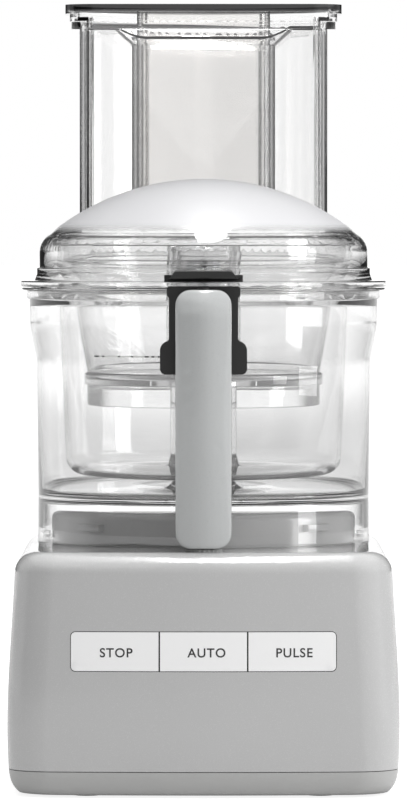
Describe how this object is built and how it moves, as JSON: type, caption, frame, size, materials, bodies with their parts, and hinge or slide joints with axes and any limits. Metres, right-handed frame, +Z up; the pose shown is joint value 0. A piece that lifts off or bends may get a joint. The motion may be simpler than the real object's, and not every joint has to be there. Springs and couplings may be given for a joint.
{
  "type": "food processor",
  "caption": "Compact food processor with a motor base, keys, nested clear bowls, a domed lid with a feed tube and two pushers.",
  "frame": {"origin": "middle of the whole object's footprint, on the surface it stands on", "axes": "+Z up, front with the keys and the handle towards -Y, +X to the right seen from the front"},
  "size_m": [0.2092, 0.2642, 0.425],
  "materials": {
    "housing_abs": "satin",
    "pan_abs": "satin",
    "key_abs": "satin",
    "handle_plastic": "satin",
    "black_plastic": "moulded",
    "clear_plastic": "clear",
    "milky_plastic": "satin",
    "grey_rubber": "matte",
    "foot_rubber": "matte",
    "screw_steel": "plated",
    "spring_steel": "drawn wire",
    "bearing_steel": "ground",
    "cast_aluminium": "die-cast",
    "lamination": "stacked laminations",
    "copper": "enamelled winding",
    "board": "circuit board"
  },
  "bodies": {
    "base": {"motor_housing": "housing_abs", "base_pan": "pan_abs", "rubber_feet": "foot_rubber", "pan_screws": "screw_steel", "plinth": "housing_abs", "key_tray": "black_plastic", "control_board": "board", "key_switches": "black_plastic", "interlock_switch": "black_plastic", "plunger_gaiter": "grey_rubber", "plunger_spring": "spring_steel", "cord_grommet": "foot_rubber", "motor_bracket_lower": "cast_aluminium", "motor_bracket_upper": "cast_aluminium", "bearing_lower": "bearing_steel", "bearing_upper": "bearing_steel", "stator_core": "lamination", "stator_windings": "copper", "motor_bolts": "screw_steel", "motor_dampers": "foot_rubber", "run_capacitor": "cast_aluminium", "shaft_seal": "foot_rubber"},
    "rotor": {"motor_shaft": "bearing_steel", "rotor_core": "lamination", "cooling_fan": "black_plastic", "drive_spindle": "bearing_steel"},
    "key_stop": {"key_stop": "key_abs"},
    "key_auto": {"key_auto": "key_abs"},
    "key_pulse": {"key_pulse": "key_abs"},
    "interlock_plunger": {"interlock_plunger": "black_plastic"},
    "main_bowl": {"main_bowl": "clear_plastic", "handle_shell": "handle_plastic", "handle_frame": "black_plastic", "handle_screws": "screw_steel", "rod_spring": "spring_steel"},
    "safety_rod": {"safety_rod": "black_plastic"},
    "midi_bowl": {"midi_bowl": "clear_plastic"},
    "mini_bowl": {"mini_bowl": "clear_plastic"},
    "lid": {"lid": "clear_plastic", "lid_tab": "black_plastic"},
    "large_pusher": {"large_pusher": "clear_plastic", "pusher_sole": "milky_plastic"},
    "small_pusher": {"small_pusher": "milky_plastic"}
  },
  "joints": [
    {"name": "spindle_spin", "type": "hinge", "parent": "base", "child": "rotor", "pos_m": [0, 0.012, 0.1], "axis": [0, 0, 1], "continuous": true},
    {"name": "stop_press", "type": "slide", "parent": "base", "child": "key_stop", "axis": [0, 1, 0], "range_m": [0, 0.0015], "stiffness_N_per_m": 800, "springref_m": -0.001},
    {"name": "auto_press", "type": "slide", "parent": "base", "child": "key_auto", "axis": [0, 1, 0], "range_m": [0, 0.0015], "stiffness_N_per_m": 800, "springref_m": -0.001},
    {"name": "pulse_press", "type": "slide", "parent": "base", "child": "key_pulse", "axis": [0, 1, 0], "range_m": [0, 0.0015], "stiffness_N_per_m": 800, "springref_m": -0.001},
    {"name": "plunger_slide", "type": "slide", "parent": "base", "child": "interlock_plunger", "axis": [0, 0, 1], "range_m": [-0.0035, 0], "stiffness_N_per_m": 300, "springref_m": 0.003, "deforming": ["plunger_spring"]},
    {"name": "bowl_lift", "type": "slide", "parent": "base", "child": "main_bowl", "axis": [0, 0, 1], "range_m": [0, 0.15]},
    {"name": "rod_slide", "type": "slide", "parent": "main_bowl", "child": "safety_rod", "axis": [0, 0, 1], "range_m": [-0.0035, 0], "stiffness_N_per_m": 300, "springref_m": 0.003, "deforming": ["rod_spring"]},
    {"name": "midi_bowl_lift", "type": "slide", "parent": "main_bowl", "child": "midi_bowl", "axis": [0, 0, 1], "range_m": [0, 0.18]},
    {"name": "mini_bowl_lift", "type": "slide", "parent": "midi_bowl", "child": "mini_bowl", "axis": [0, 0, 1], "range_m": [0, 0.17]},
    {"name": "lid_lift", "type": "slide", "parent": "mini_bowl", "child": "lid", "axis": [0, 0, 1], "range_m": [0, 0.12]},
    {"name": "large_pusher_slide", "type": "slide", "parent": "lid", "child": "large_pusher", "axis": [0, 0, 1], "range_m": [0, 0.115]},
    {"name": "small_pusher_slide", "type": "slide", "parent": "large_pusher", "child": "small_pusher", "axis": [0, 0, 1], "range_m": [0, 0.118]}
  ],
  "couplings": [
    {"joint": "plunger_slide", "follows": "rod_slide", "ratio": 1}
  ]
}
